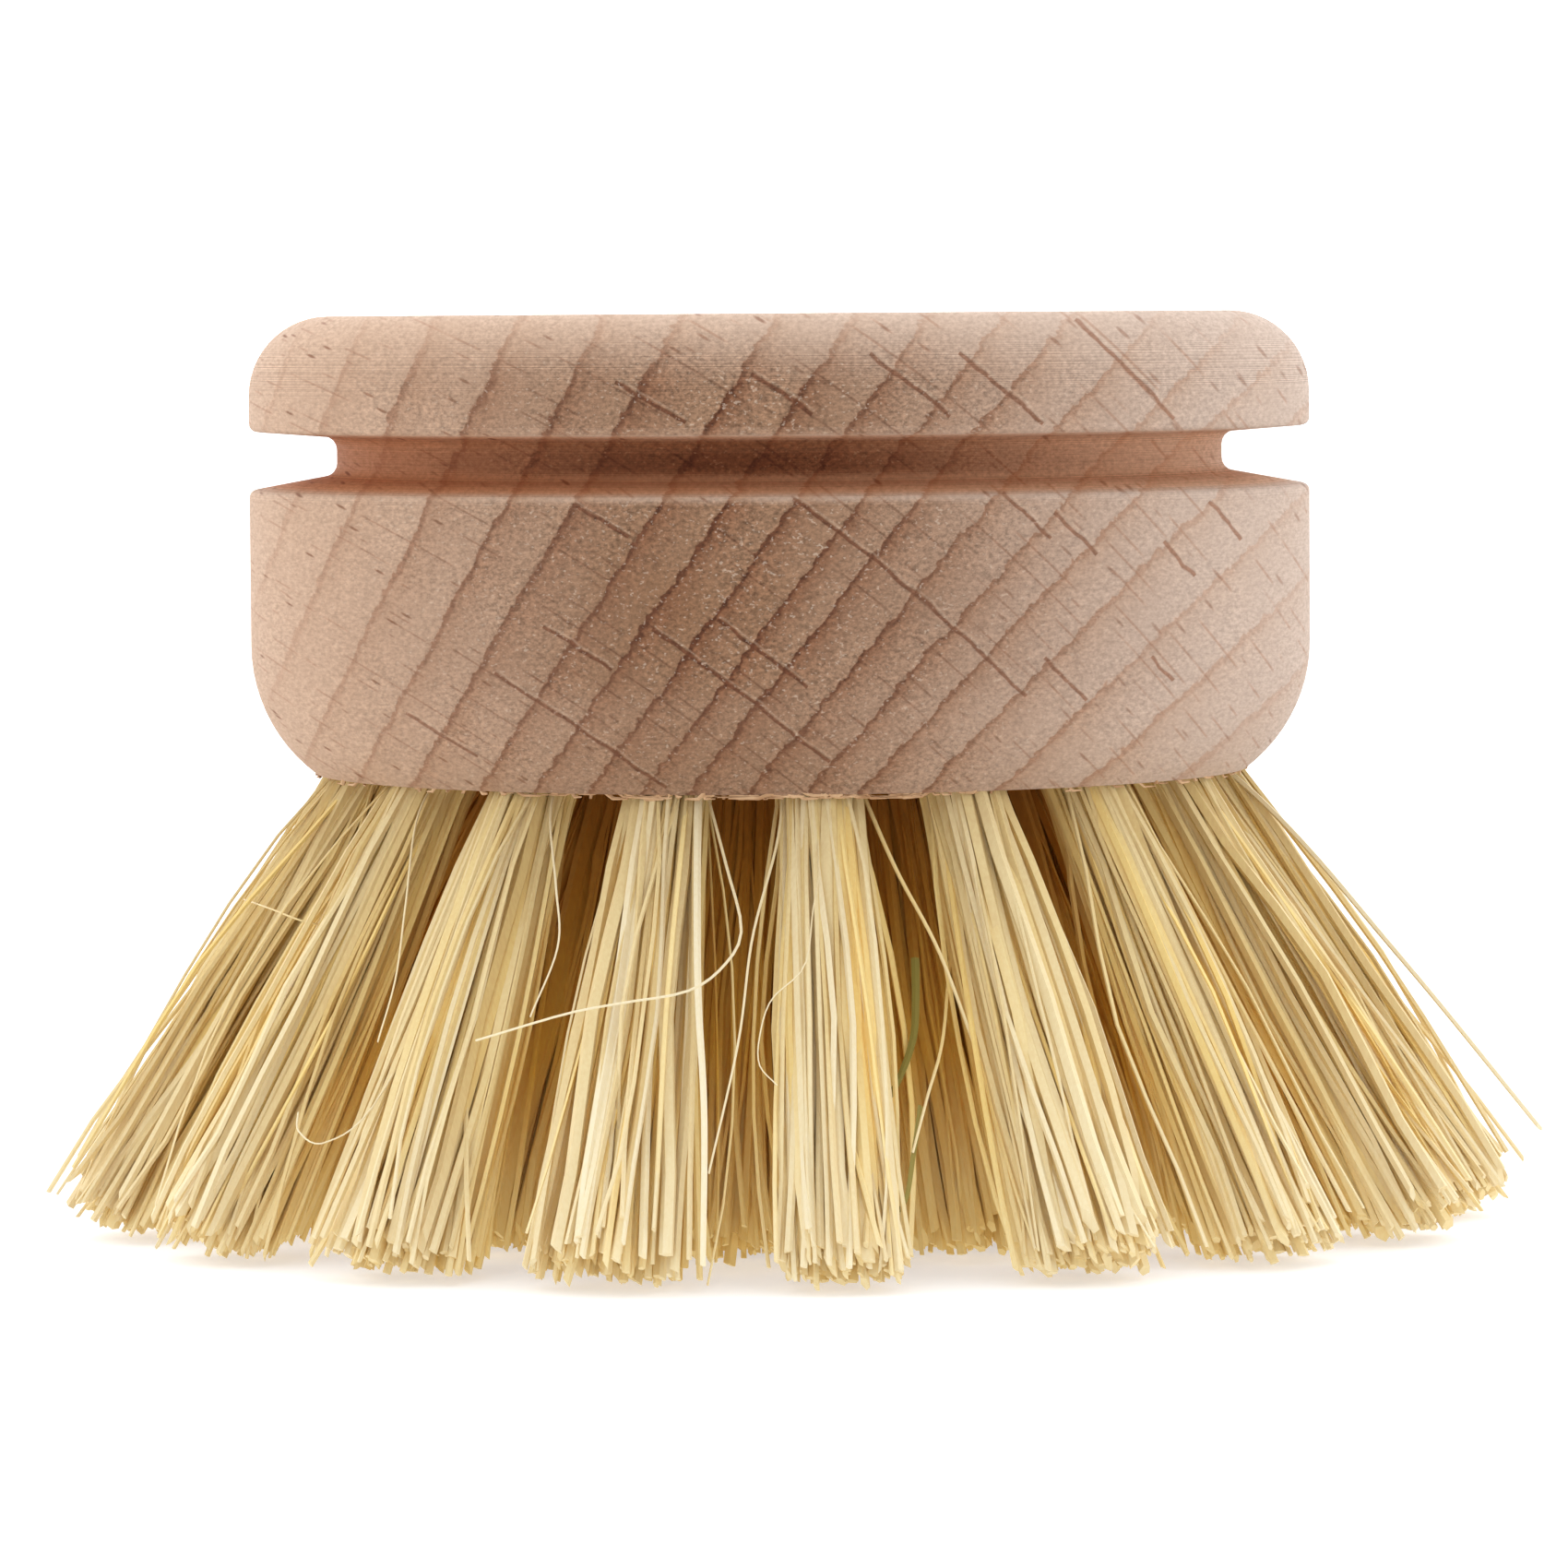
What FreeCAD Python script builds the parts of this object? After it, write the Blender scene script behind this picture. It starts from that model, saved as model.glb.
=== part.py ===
"""Dish brush head: a turned beech block with a clip groove, filled with flared tufts of plant fibre.

Every tuft is folded double over a wire staple at the bottom of a blind hole. The holes lie in rings, and
their axes meet at one point above the block, so the tufts fan out towards their tips.
Units are millimetres. +Z is up along the turning axis, and the fibre tips stand on the plane Z = 0.
"""
import FreeCAD, Part
import os

import Sketcher

doc = FreeCAD.newDocument("DishBrushHead")

# Lengths closer than this count as equal
TOLERANCE = 1e-6

# Driving dimensions: lengths in millimetres, front_turn in degrees
SIZES = {
    "block_diameter": 40.0,
    "block_height": 17.2,
    "top_edge_radius": 3.0,
    "bottom_edge_inset": 2.4,
    "bottom_edge_radius": 6.0,
    "rim_height": 4.3,
    "groove_mouth": 2.25,
    "groove_depth": 3.3,
    "groove_upper_flare": 0.25,
    "groove_lower_flare": 0.6,
    "groove_floor_radius": 0.5,
    "groove_lip_radius": 0.3,
    "trim_height": 17.0,
    "outer_ring_margin": 4.4,
    "inner_count": 6,
    "middle_count": 12,
    "outer_count": 18,
    "fan_height": 27.0,
    "front_turn": -5.0,
    "hole_diameter": 3.1,
    "hole_depth": 8.0,
    "tuft_clearance": 0.05,
    "tip_diameter": 5.4,
    "tip_dome": 0.5,
    "trim_allowance": 0.5,
    "ridge_count": 12,
    "ridge_height": 0.6,
    "wire_thickness": 0.8,
    "wire_clearance": 0.02,
    "staple_side_gap": 0.1,
    "staple_leg": 3.5,
}

sheet = doc.addObject("Spreadsheet::Sheet", "Sizes")
for row, (alias, value) in enumerate(SIZES.items(), start=1):
    sheet.set(f"A{row}", alias)
    sheet.set(f"B{row}", str(value))
    sheet.setAlias(f"B{row}", alias)
doc.recompute()


def size(alias):
    """The number in the named cell."""
    return float(sheet.get(alias))


# The rings of tufts from the centre outwards: name, and the cell with the count
RINGS = [("inner", "inner_count"), ("middle", "middle_count"), ("outer", "outer_count")]


# Expressions shared by the pieces that fit each other
TURN = "Sizes.front_turn * 1 deg"
BLOCK_RADIUS = "(Sizes.block_diameter / 2)"
FACE_RADIUS = f"({BLOCK_RADIUS} - Sizes.bottom_edge_inset)"
BLOCK_TOP = "(Sizes.trim_height + Sizes.block_height)"
GROOVE_FLOOR = f"({BLOCK_RADIUS} - Sizes.groove_depth)"
UPPER_LIP = f"({BLOCK_TOP} - Sizes.rim_height)"
LOWER_LIP = f"({UPPER_LIP} - Sizes.groove_mouth)"
UPPER_CORNER = f"({UPPER_LIP} - Sizes.groove_upper_flare)"
LOWER_CORNER = f"({LOWER_LIP} + Sizes.groove_lower_flare)"
RING_PITCH = f"(({BLOCK_RADIUS} - Sizes.outer_ring_margin) / {len(RINGS)})"
HOLE_RADIUS = f"min(Sizes.hole_diameter / 2; 0.3 * {RING_PITCH})"
TUFT_RADIUS = f"({HOLE_RADIUS} - Sizes.tuft_clearance)"
TIP_RADIUS = "(Sizes.tip_diameter / 2)"
FOLD_TOP = "(Sizes.hole_depth - Sizes.tuft_clearance)"
CROWN_RISE = f"({FOLD_TOP} - {TUFT_RADIUS})"
LEG_TOP = f"({CROWN_RISE} + Sizes.staple_leg)"
LEG_OUTSIDE = f"({HOLE_RADIUS} - Sizes.staple_side_gap)"
LEG_INSIDE = f"({LEG_OUTSIDE} - Sizes.wire_thickness)"


def splay(step):
    """The lean of a ring's tufts from the vertical."""
    return f"atan({step} * {RING_PITCH} / Sizes.fan_height)"


def tuft_length(step):
    """From the block's face to the middle of a tuft's end, which is cut square to the tuft."""
    lean = splay(step)
    low_side = f"{TIP_RADIUS} * sin({lean})"
    return f"((Sizes.trim_height + Sizes.trim_allowance - {low_side}) / cos({lean}))"


def origin_plane(body, role):
    return next(f for f in body.Origin.OriginFeatures if f.Role == role)


def new_body(label, turn=TURN):
    """A body turned about the vertical axis by the expression given."""
    body = doc.addObject("PartDesign::Body", label)
    body.Label = label
    body.Placement = FreeCAD.Placement(FreeCAD.Vector(), FreeCAD.Rotation(FreeCAD.Vector(0, 0, 1), 1))
    body.setExpression("Placement.Rotation.Angle", turn)
    return body


def new_sketch(body, name, plane="XZ_Plane"):
    sketch = body.newObject("Sketcher::SketchObject", name)
    sketch.AttachmentSupport = [(origin_plane(body, plane), "")]
    sketch.MapMode = "FlatFace"
    return sketch


def hole_sketch(body, name, step):
    """A sketch along a hole: its origin is the middle of the mouth, its vertical axis runs up the hole."""
    sketch = new_sketch(body, name)
    leaning = FreeCAD.Rotation(FreeCAD.Vector(0, 0, 1), 1)
    sketch.AttachmentOffset = FreeCAD.Placement(FreeCAD.Vector(), leaning)
    sketch.setExpression("AttachmentOffset.Base.x", f"{step} * {RING_PITCH}")
    sketch.setExpression("AttachmentOffset.Base.y", "Sizes.trim_height")
    sketch.setExpression("AttachmentOffset.Rotation.Angle", splay(step))
    return sketch


def staple_sketch(body, name, step):
    """The same, in the plane that runs along the ring, where the staple lies."""
    sketch = new_sketch(body, name, "YZ_Plane")
    leaning = FreeCAD.Rotation(FreeCAD.Vector(-1, 0, 0), 1)
    sketch.AttachmentOffset = FreeCAD.Placement(FreeCAD.Vector(), leaning)
    sketch.setExpression("AttachmentOffset.Base.z", f"{step} * {RING_PITCH}")
    sketch.setExpression("AttachmentOffset.Base.y", "Sizes.trim_height")
    sketch.setExpression("AttachmentOffset.Rotation.Angle", splay(step))
    return sketch


def set_across_hole(sketch, placement, step, rise):
    """Sets a sketch square to a hole's axis and centred on it, some way up the hole from the block's face."""
    lean = splay(step)
    leaning = FreeCAD.Rotation(FreeCAD.Vector(0, -1, 0), 1)
    setattr(sketch, placement, FreeCAD.Placement(FreeCAD.Vector(), leaning))
    sketch.setExpression(f"{placement}.Base.x", f"{step} * {RING_PITCH} - {rise} * sin({lean})")
    sketch.setExpression(f"{placement}.Base.z", f"Sizes.trim_height + {rise} * cos({lean})")
    sketch.setExpression(f"{placement}.Rotation.Angle", lean)


def value_of(expression):
    """The number that an expression gives with the sizes as they are."""
    result = sheet.evalExpression(expression)
    return float(getattr(result, "Value", result))


def bind(sketch, kind, refs, expression):
    """Adds a dimension to the sketch and ties it to the expression."""
    index = sketch.addConstraint(Sketcher.Constraint(kind, *refs, value_of(expression)))
    sketch.setExpression(f"Constraints[{index}]", expression)


def corner_constraint(kind, axis, line, expression):
    """Holds the start of a line at a distance from the sketch's origin, or on the axis itself."""
    if expression == "0":
        return Sketcher.Constraint("PointOnObject", line, 1, axis)
    return Sketcher.Constraint(kind, -1, 1, line, 1, value_of(expression))


def draw_outline(sketch, corners):
    """A closed loop of lines through corners given as pairs of expressions."""
    first = len(sketch.Geometry)
    lines = [first + step for step in range(len(corners))]
    points = [FreeCAD.Vector(value_of(x), value_of(y), 0) for x, y in corners]
    segments = [Part.LineSegment(here, there) for here, there in zip(points, points[1:] + points[:1])]
    sketch.addGeometry(segments)
    joins = zip(lines, lines[1:] + lines[:1])
    sketch.addConstraint([Sketcher.Constraint("Coincident", here, 2, there, 1) for here, there in joins])

    places = []
    for line, (x_expression, y_expression) in zip(lines, corners):
        places.append(("DistanceX", -2, line, x_expression))
        places.append(("DistanceY", -1, line, y_expression))
    numbers = sketch.addConstraint([corner_constraint(*place) for place in places])
    for number, (_, _, _, expression) in zip(numbers, places):
        if expression != "0":
            sketch.setExpression(f"Constraints[{number}]", expression)
    doc.recompute()


def revolve(body, name, kind, sketch):
    """A full turn of the sketch about its vertical axis."""
    feature = body.newObject(kind, name)
    feature.Profile = sketch
    feature.ReferenceAxis = (sketch, ["V_Axis"])
    feature.Angle = 360
    body.Tip = feature
    doc.recompute()
    return feature


def ring_of(body, name, originals, count):
    """Repeats features evenly about the vertical axis, as often as the named cell says."""
    pattern = body.newObject("PartDesign::PolarPattern", name)
    pattern.Originals = originals
    pattern.Axis = (origin_plane(body, "Z_Axis"), [""])
    pattern.Angle = 360
    pattern.setExpression("Occurrences", f"Sizes.{count}")
    body.Tip = pattern
    doc.recompute()
    return pattern


def circle_edges(shape, radius, height):
    """Names of the shape's full circles about the vertical axis with this radius at this height."""
    names = []
    for number, edge in enumerate(shape.Edges, start=1):
        circle = edge.Curve
        if not isinstance(circle, Part.Circle):
            continue
        off_axis = abs(circle.Center.x) + abs(circle.Center.y)
        off_size = abs(circle.Radius - radius) + abs(circle.Center.z - height)
        if off_axis + off_size < TOLERANCE:
            names.append(f"Edge{number}")
    return names


def round_edges(body, name, base, circles, rounding):
    """Rounds circular edges, given as expressions for radius and height."""
    edges = []
    for radius, height in circles:
        edges += circle_edges(base.Shape, value_of(radius), value_of(height))
    if len(edges) != len(circles):
        raise RuntimeError(f"{name}: {len(edges)} edges found for {len(circles)} circles")
    fillet = body.newObject("PartDesign::Fillet", name)
    fillet.Base = (base, edges)
    fillet.setExpression("Radius", rounding)
    body.Tip = fillet
    doc.recompute()
    return fillet


def check_cut(before, after):
    """Stops the build if a cut has taken nothing away."""
    if not after.Shape.Volume < before.Shape.Volume - TOLERANCE:
        raise RuntimeError(f"{after.Name} cut nothing")


# The turned block
def turn_block(body):
    """The blank: a cylinder whose lower edge is a wide arc that meets the flat bottom at an angle."""
    radius = value_of(BLOCK_RADIUS)
    face_radius = value_of(FACE_RADIUS)
    arc_radius = size("bottom_edge_radius")
    floor = size("trim_height")
    top = value_of(BLOCK_TOP)
    arc_reach = face_radius - (radius - arc_radius)
    arc_rise = (arc_radius**2 - arc_reach**2) ** 0.5

    profile = new_sketch(body, "BlockProfile")
    corner = FreeCAD.Vector(face_radius, floor, 0)
    arc_centre = FreeCAD.Vector(radius - arc_radius, floor + arc_rise, 0)
    arc_end = FreeCAD.Vector(radius, floor + arc_rise, 0)
    middle = arc_centre + ((corner + arc_end) / 2 - arc_centre).normalize() * arc_radius
    profile.addGeometry(Part.LineSegment(FreeCAD.Vector(0, floor, 0), corner))
    profile.addGeometry(Part.ArcOfCircle(corner, middle, arc_end))
    profile.addGeometry(Part.LineSegment(arc_end, FreeCAD.Vector(radius, top, 0)))
    profile.addGeometry(Part.LineSegment(FreeCAD.Vector(radius, top, 0), FreeCAD.Vector(0, top, 0)))
    profile.addGeometry(Part.LineSegment(FreeCAD.Vector(0, top, 0), FreeCAD.Vector(0, floor, 0)))
    profile.addConstraint(Sketcher.Constraint("Coincident", 0, 2, 1, 1))
    profile.addConstraint(Sketcher.Constraint("Tangent", 1, 2, 2, 1))
    profile.addConstraint(Sketcher.Constraint("Coincident", 2, 2, 3, 1))
    profile.addConstraint(Sketcher.Constraint("Coincident", 3, 2, 4, 1))
    profile.addConstraint(Sketcher.Constraint("Coincident", 4, 2, 0, 1))
    profile.addConstraint(Sketcher.Constraint("Vertical", 2))
    profile.addConstraint(Sketcher.Constraint("Horizontal", 0))
    profile.addConstraint(Sketcher.Constraint("Horizontal", 3))
    profile.addConstraint(Sketcher.Constraint("PointOnObject", 0, 1, -2))
    profile.addConstraint(Sketcher.Constraint("PointOnObject", 4, 1, -2))
    bind(profile, "DistanceX", (-1, 1, 0, 2), FACE_RADIUS)
    bind(profile, "DistanceY", (-1, 1, 0, 2), "Sizes.trim_height")
    bind(profile, "Radius", (1,), "Sizes.bottom_edge_radius")
    bind(profile, "DistanceX", (-1, 1, 2, 2), BLOCK_RADIUS)
    bind(profile, "DistanceY", (-1, 1, 2, 2), BLOCK_TOP)
    doc.recompute()
    blank = revolve(body, "BlockBlank", "PartDesign::Revolution", profile)
    rim_room = "0.9 * (Sizes.rim_height - Sizes.groove_lip_radius)"
    rounding = f"min(Sizes.top_edge_radius; {rim_room})"
    return round_edges(body, "TopEdge", blank, [(BLOCK_RADIUS, BLOCK_TOP)], rounding)


def cut_clip_groove(body, blank):
    """The ring groove for the handle's wire clip: flared walls, with rounded floor corners and lips."""
    outside = f"({BLOCK_RADIUS} + Sizes.groove_depth)"
    corners = [
        (GROOVE_FLOOR, LOWER_CORNER),
        (outside, f"({LOWER_LIP} - Sizes.groove_lower_flare)"),
        (outside, f"({UPPER_LIP} + Sizes.groove_upper_flare)"),
        (GROOVE_FLOOR, UPPER_CORNER),
    ]
    profile = new_sketch(body, "ClipGrooveProfile")
    draw_outline(profile, corners)
    groove = revolve(body, "ClipGroove", "PartDesign::Groove", profile)
    check_cut(blank, groove)

    floor_circles = [(GROOVE_FLOOR, height) for height in (LOWER_CORNER, UPPER_CORNER)]
    lip_circles = [(BLOCK_RADIUS, height) for height in (LOWER_LIP, UPPER_LIP)]
    floor_radius = f"min(Sizes.groove_floor_radius; 0.45 * ({UPPER_CORNER} - {LOWER_CORNER}))"
    floored = round_edges(body, "GrooveFloor", groove, floor_circles, floor_radius)
    return round_edges(body, "GrooveLips", floored, lip_circles, "Sizes.groove_lip_radius")


def drill_hole(body, name, step):
    """A blind hole, begun well outside the block so that it also clears the rim."""
    before = body.Tip
    profile = hole_sketch(body, f"{name}HoleProfile", step)
    radius = HOLE_RADIUS
    outside = "-Sizes.hole_diameter"
    depth = "Sizes.hole_depth"
    draw_outline(profile, [("0", outside), (radius, outside), (radius, depth), ("0", depth)])
    hole = revolve(body, f"{name}Hole", "PartDesign::Groove", profile)
    check_cut(before, hole)
    return hole


def pierce_leg_holes(body, name, step):
    """The two small holes that the legs of a staple make above the bottom of the tuft's hole."""
    before = body.Tip
    sketch = new_sketch(body, f"{name}LegProfile", "XY_Plane")
    set_across_hole(sketch, "AttachmentOffset", step, f"({LEG_TOP} + Sizes.wire_clearance)")
    near = f"({LEG_INSIDE} - Sizes.wire_clearance)"
    far = f"({LEG_OUTSIDE} + Sizes.wire_clearance)"
    half = "(Sizes.wire_thickness / 2 + Sizes.wire_clearance)"
    for start, end in ((near, far), (f"-{far}", f"-{near}")):
        draw_outline(sketch, [(f"-{half}", start), (half, start), (half, end), (f"-{half}", end)])
    legs = body.newObject("PartDesign::Pocket", f"{name}Legs")
    legs.Profile = sketch
    legs.setExpression("Length", "Sizes.staple_leg")
    body.Tip = legs
    doc.recompute()
    check_cut(before, legs)
    return legs


def make_block():
    body = new_body("brush_block")
    cut_clip_groove(body, turn_block(body))
    drill_hole(body, "Centre", 0)
    pierce_leg_holes(body, "Centre", 0)
    for step, (name, count) in enumerate(RINGS, start=1):
        hole = drill_hole(body, name.title(), step)
        legs = pierce_leg_holes(body, name.title(), step)
        holes = ring_of(body, f"{name.title()}Holes", [hole, legs], count)
        check_cut(legs, holes)
    return body


# The wire staples
def staple_outline(body, name, step, room):
    """A staple seen square on: crown below, two legs with chisel points above, grown by some room."""
    sketch = staple_sketch(body, name, step)
    far = f"({LEG_OUTSIDE} + {room})"
    near = f"({LEG_INSIDE} - {room})"
    under = f"({CROWN_RISE} - Sizes.wire_thickness / 2 - {room})"
    over = f"({CROWN_RISE} + Sizes.wire_thickness / 2 + {room})"
    point = f"({LEG_TOP} + {room})"
    shoulder = f"({point} - Sizes.wire_thickness)"
    corners = [
        (f"-{far}", shoulder),
        (f"-{far}", under),
        (far, under),
        (far, shoulder),
        (near, point),
        (near, over),
        (f"-{near}", over),
        (f"-{near}", point),
    ]
    draw_outline(sketch, corners)
    return sketch


def extrude_wire(body, name, kind, outline, thickness):
    """Gives the staple's outline its thickness, evenly to both sides."""
    wire = body.newObject(kind, name)
    wire.Profile = outline
    wire.SideType = "Symmetric"
    wire.setExpression("Length", thickness)
    body.Tip = wire
    doc.recompute()
    return wire


def make_staples(label, step, count):
    body = new_body(label)
    name = label.title().replace("_", "")
    outline = staple_outline(body, f"{name}Outline", step, "0")
    wire = extrude_wire(body, f"{name}Wire", "PartDesign::Pad", outline, "Sizes.wire_thickness")
    if count:
        ring_of(body, f"{name}Ring", [wire], count)
    return body


# The tufts
def ridged_section(name, step, rise, radius):
    """A star-shaped cross-section of a bundle; all of them are alike in shape, so the flanks stay flat."""
    sketch = doc.addObject("Sketcher::SketchObject", name)
    set_across_hole(sketch, "Placement", step, rise)
    valley = f"{radius} * (1 - Sizes.ridge_height / {TIP_RADIUS})"
    corners = []
    for place in range(round(size("ridge_count"))):
        ridge_angle = f"({place} * 360 deg / Sizes.ridge_count)"
        valley_angle = f"(({place} + 0.5) * 360 deg / Sizes.ridge_count)"
        corners.append((f"{radius} * cos({ridge_angle})", f"{radius} * sin({ridge_angle})"))
        corners.append((f"{valley} * cos({valley_angle})", f"{valley} * sin({valley_angle})"))
    draw_outline(sketch, corners)
    return sketch


def make_tuft(label, step):
    """One folded bundle: rounded at the fold, straight in its hole, flared and trimmed level."""
    body = new_body(label)
    name = label.title().replace("_", "")
    length = tuft_length(step)
    fold_radius = f"({TUFT_RADIUS} / 2)"
    clear_of_block = f"(-{HOLE_RADIUS} * tan({splay(step)}))"
    stations = [
        ("Fold", FOLD_TOP, fold_radius),
        ("Shoulder", f"({FOLD_TOP} - {fold_radius})", TUFT_RADIUS),
        ("Mouth", clear_of_block, TUFT_RADIUS),
        ("Tip", f"(-{length})", TIP_RADIUS),
        ("End", f"(-{length} - Sizes.tip_dome)", f"({TIP_RADIUS} / 2)"),
    ]
    bundle = doc.addObject("Part::Loft", f"{name}Bundle")
    bundle.Sections = [ridged_section(name + place, step, rise, radius) for place, rise, radius in stations]
    bundle.Solid = True
    bundle.Ruled = True
    bundle.Linearize = True
    doc.recompute()
    body.BaseFeature = bundle
    doc.recompute()

    outline = staple_outline(body, f"{name}RoomOutline", step, "Sizes.wire_clearance")
    thickness = "Sizes.wire_thickness + 2 * Sizes.wire_clearance"
    room = extrude_wire(body, f"{name}Room", "PartDesign::Pocket", outline, thickness)
    check_cut(bundle, room)
    trim = trim_tips(body, name)
    check_cut(room, trim)
    return body


def trim_tips(body, name):
    """Cuts away what reaches below the plane that the brush stands on."""
    sketch = new_sketch(body, f"{name}TrimProfile", "XY_Plane")
    reach = "2 * Sizes.block_diameter"
    circle = sketch.addGeometry(Part.Circle(FreeCAD.Vector(), FreeCAD.Vector(0, 0, 1), value_of(reach)))
    sketch.addConstraint(Sketcher.Constraint("Coincident", circle, 3, -1, 1))
    bind(sketch, "Radius", (circle,), reach)
    trim = body.newObject("PartDesign::Pocket", f"{name}Trim")
    trim.Profile = sketch
    trim.setExpression("Length", "Sizes.trim_height")
    body.Tip = trim
    doc.recompute()
    return trim


def copy_tuft(label, original, turn):
    """A further tuft of the same ring, turned about the vertical axis."""
    body = new_body(label, turn)
    clone = body.newObject("PartDesign::FeatureBase", label.title().replace("_", ""))
    clone.BaseFeature = original
    body.Tip = clone
    return body


def make_tuft_ring(name, step, count):
    first = make_tuft(f"{name}_tuft_01", step)
    pieces = [first]
    for place in range(1, round(size(count))):
        turn = f"(Sizes.front_turn + {place} * 360 / Sizes.{count}) * 1 deg"
        pieces.append(copy_tuft(f"{name}_tuft_{place + 1:02d}", first, turn))
    return pieces


pieces = [make_block(), make_tuft("centre_tuft", 0), make_staples("centre_staple", 0, None)]
for step, (name, count) in enumerate(RINGS, start=1):
    pieces += make_tuft_ring(name, step, count)
    pieces.append(make_staples(f"{name}_staples", step, count))
doc.recompute()

for item in doc.Objects:
    if "Invalid" in item.State or "Error" in item.State:
        raise RuntimeError(f"{item.Name}: {item.State}")

os.makedirs("parts", exist_ok=True)
for piece in pieces:
    if piece.Shape.isNull() or not piece.Shape.isValid():
        raise RuntimeError(f"{piece.Label}: no valid shape")
    piece.Shape.exportStep(f"parts/{piece.Label}.step")
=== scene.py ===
"""Looks of a wooden dish brush head: turned beech, tufts of separate plant fibres, and wire staples.

Everything is in metres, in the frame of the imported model: +Z is up, the fibre tips stand on Z = 0, and the
photographed side is at -Y.
"""
import math

import bpy
import numpy as np
from mathutils import Euler, Matrix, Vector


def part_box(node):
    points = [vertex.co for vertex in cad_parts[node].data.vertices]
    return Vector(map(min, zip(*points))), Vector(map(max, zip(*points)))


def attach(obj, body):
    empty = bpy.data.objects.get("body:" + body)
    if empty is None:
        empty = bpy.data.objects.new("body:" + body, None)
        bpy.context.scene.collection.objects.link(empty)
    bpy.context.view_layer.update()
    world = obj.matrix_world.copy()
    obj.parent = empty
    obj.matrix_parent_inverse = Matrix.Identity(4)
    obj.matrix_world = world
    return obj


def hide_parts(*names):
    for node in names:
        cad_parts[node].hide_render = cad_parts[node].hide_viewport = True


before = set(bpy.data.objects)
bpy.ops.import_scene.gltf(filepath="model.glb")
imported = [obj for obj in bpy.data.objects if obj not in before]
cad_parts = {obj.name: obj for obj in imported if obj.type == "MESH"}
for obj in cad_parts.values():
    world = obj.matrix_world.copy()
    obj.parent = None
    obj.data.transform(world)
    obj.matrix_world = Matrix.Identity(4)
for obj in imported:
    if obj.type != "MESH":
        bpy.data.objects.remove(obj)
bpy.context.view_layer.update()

MM = 0.001
rng = np.random.default_rng(seed=37)

# Sizes shared with the solids
block_low, block_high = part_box("brush_block")
BLOCK_FACE = block_low.z
BLOCK_TOP = block_high.z
BLOCK_RADIUS = (block_high.x - block_low.x) / 2
OUTER_RING_MARGIN = 4.4 * MM
RINGS = [("inner", 6), ("middle", 12), ("outer", 18)]
RING_PITCH = (BLOCK_RADIUS - OUTER_RING_MARGIN) / len(RINGS)
FAN_HEIGHT = 27.0 * MM
FRONT_TURN = math.radians(-5.0)
HOLE_RADIUS = 1.55 * MM
TIP_RADIUS = 2.7 * MM
TRIM_ALLOWANCE = 0.5 * MM

# The photograph's frame
IMAGE_SIDE = 1700
FOCAL_PIXELS = 8885
SENSOR_WIDTH = 36.0


# Camera
def add_camera():
    """A long lens level with the block's top, tipped down a little and rolled as the photograph is."""
    distance = 310 * MM
    sideways = 0.09 * MM
    height = BLOCK_TOP - 0.1 * MM
    tip_down = math.radians(3.27)
    roll = math.radians(-0.4)
    data = bpy.data.cameras.new("camera")
    data.sensor_width = SENSOR_WIDTH
    data.lens = SENSOR_WIDTH * FOCAL_PIXELS / IMAGE_SIDE
    data.clip_start = 0.01
    data.clip_end = 20
    camera = bpy.data.objects.new("camera", data)
    bpy.context.scene.collection.objects.link(camera)
    level = Euler((math.pi / 2 - tip_down, 0, 0)).to_matrix()
    turn = level @ Matrix.Rotation(roll, 3, "Z")
    camera.matrix_world = Matrix.Translation((sideways, -distance, height)) @ turn.to_4x4()
    bpy.context.scene.camera = camera


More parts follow.
